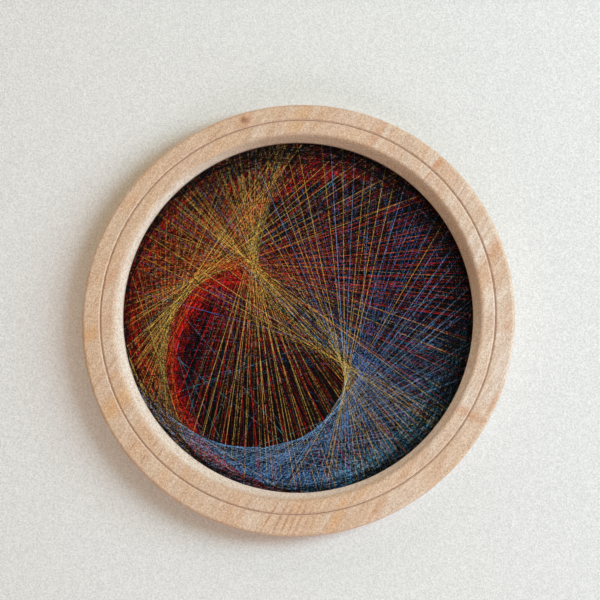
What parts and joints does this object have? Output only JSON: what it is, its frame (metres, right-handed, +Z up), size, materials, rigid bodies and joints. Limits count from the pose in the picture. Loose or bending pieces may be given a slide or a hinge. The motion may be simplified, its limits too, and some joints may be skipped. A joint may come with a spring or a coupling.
{
  "type": "string art in a round wooden frame",
  "caption": "Round wall piece: taut coloured threads crossing rim to rim over a black board, inside a turned pale wood ring with a bevelled opening and a V-groove.",
  "frame": {"origin": "middle of the ring's outer circle, on the flat back that lies against the wall", "axes": "+Z up, the threads face -Y, +Y points into the wall, +X to the right as seen from the front"},
  "size_m": [0.4004, 0.028, 0.3996],
  "materials": {
    "pale_wood": "sanded bare maple, faintly waxed",
    "sewing_thread": "fine sewing threads in crimson, red, orange, gold, blue, navy and teal",
    "black_board": "thin hardboard, painted matt black"
  },
  "bodies": {
    "root": {"frame_ring": "pale_wood", "thread_web": "sewing_thread", "backing_board": "black_board"}
  },
  "joints": []
}
